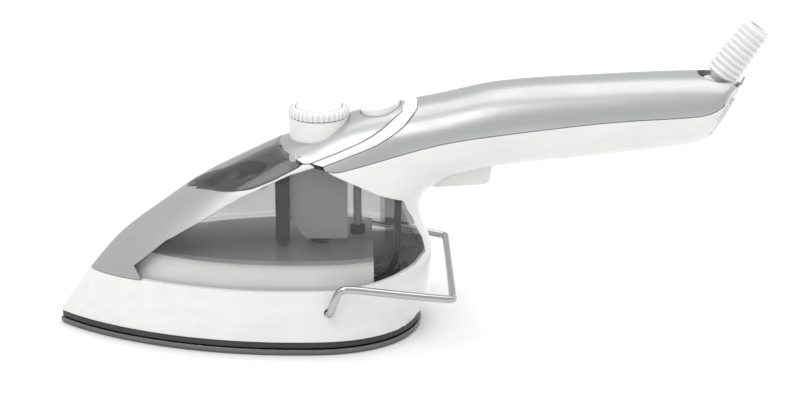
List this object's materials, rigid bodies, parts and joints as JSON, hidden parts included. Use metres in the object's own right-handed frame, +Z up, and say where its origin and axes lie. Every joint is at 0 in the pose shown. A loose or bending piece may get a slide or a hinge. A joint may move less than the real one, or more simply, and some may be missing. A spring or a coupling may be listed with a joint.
{
  "type": "garment steamer",
  "caption": "Handheld travel steam iron with a pointed soleplate, a smoky water tank, a long rear handle, a steam knob, a pump trigger and a folding wire stand.",
  "frame": {"origin": "middle of the soleplate's bottom face, on the plane it stands on", "axes": "+X towards the rear end of the handle, -X towards the nose, +Y to the left, +Z up"},
  "size_m": [0.2819, 0.0858, 0.1247],
  "materials": {
    "white_plastic": "smooth gloss",
    "silver_plastic": "satin silver lacquer",
    "smoky_plastic": "polished see-through",
    "charcoal_resin": "matt",
    "grey_plastic": "fine matt",
    "bright_steel": "polished",
    "sole_metal": "polished dark coating",
    "cast_aluminium": "as cast",
    "grey_rubber": "matt",
    "clear_hose": "soft clear"
  },
  "bodies": {
    "iron": {"chamber_cover": "cast_aluminium", "chamber_seal": "grey_rubber", "console_panel": "silver_plastic", "console_trim": "white_plastic", "cord_clamp": "grey_plastic", "delivery_tube": "clear_hose", "door_hinge_pin": "bright_steel", "drip_nozzle": "grey_plastic", "filler_tray": "grey_plastic", "front_shell": "silver_plastic", "handle_screw_1": "bright_steel", "handle_screw_2": "bright_steel", "handle_top_shell": "silver_plastic", "heat_shield": "charcoal_resin", "heater_casting": "cast_aluminium", "heating_element": "bright_steel", "indicator_lens": "white_plastic", "knob_pedestal": "white_plastic", "live_lead": "grey_rubber", "main_housing": "white_plastic", "neutral_lead": "grey_rubber", "pilot_lamp": "grey_plastic", "pump_body": "grey_plastic", "pump_spring": "bright_steel", "shaft_seal": "grey_rubber", "shield_screw_1": "bright_steel", "shield_screw_2": "bright_steel", "shield_screw_3": "bright_steel", "shield_screw_4": "bright_steel", "soleplate": "sole_metal", "stand_bushing_left": "charcoal_resin", "stand_bushing_right": "charcoal_resin", "suction_filter": "charcoal_resin", "suction_tube": "clear_hose", "swivel_socket": "grey_plastic", "tank_baffle": "charcoal_resin", "tank_base": "white_plastic", "terminal_block": "white_plastic", "thermal_fuse": "bright_steel", "thermostat": "charcoal_resin", "trigger_pin": "bright_steel", "valve_seat": "grey_rubber", "valve_tower": "grey_plastic", "water_tank": "smoky_plastic"},
    "knob": {"steam_knob": "white_plastic", "knob_disc": "white_plastic", "knob_shaft": "grey_plastic"},
    "valve": {"valve_needle": "bright_steel"},
    "door": {"filler_door": "smoky_plastic", "door_seal": "grey_rubber"},
    "trigger": {"steam_trigger": "white_plastic"},
    "piston": {"pump_piston": "charcoal_resin"},
    "stand": {"stand_wire": "bright_steel"},
    "swivel": {"cord_sleeve": "white_plastic"}
  },
  "joints": [
    {"name": "steam_knob_turn", "type": "hinge", "parent": "iron", "child": "knob", "pos_m": [0.032, 0, 0.0872], "axis": [0, 0, 1], "range_deg": [0, 270]},
    {"name": "valve_lift", "type": "slide", "parent": "iron", "child": "valve", "axis": [0, 0, 1], "range_m": [0, 0.003]},
    {"name": "filler_door_swing", "type": "hinge", "parent": "iron", "child": "door", "pos_m": [0.0248, 0, 0.0719], "axis": [0, 1, 0], "range_deg": [0, 32]},
    {"name": "trigger_press", "type": "hinge", "parent": "iron", "child": "trigger", "pos_m": [0.079, 0, 0.0644], "axis": [0, -1, 0], "range_deg": [0, 12], "stiffness_Nm_per_rad": 0.6, "springref_deg": -5.73},
    {"name": "pump_stroke", "type": "slide", "parent": "iron", "child": "piston", "axis": [0, 0, 1], "range_m": [0, 0.0033], "deforming": ["pump_spring"]},
    {"name": "stand_swing", "type": "hinge", "parent": "iron", "child": "stand", "pos_m": [0.0352, 0, 0.0176], "axis": [0, 1, 0], "range_deg": [0, 100]},
    {"name": "cord_swivel", "type": "hinge", "parent": "iron", "child": "swivel", "pos_m": [0.1904, 0, 0.1018], "axis": [0.5736, 0, 0.8192], "continuous": true}
  ],
  "couplings": [
    {"joint": "valve_lift", "follows": "steam_knob_turn", "m_per_rad": 0.000636},
    {"joint": "pump_stroke", "follows": "trigger_press", "m_per_rad": 0.0155}
  ]
}
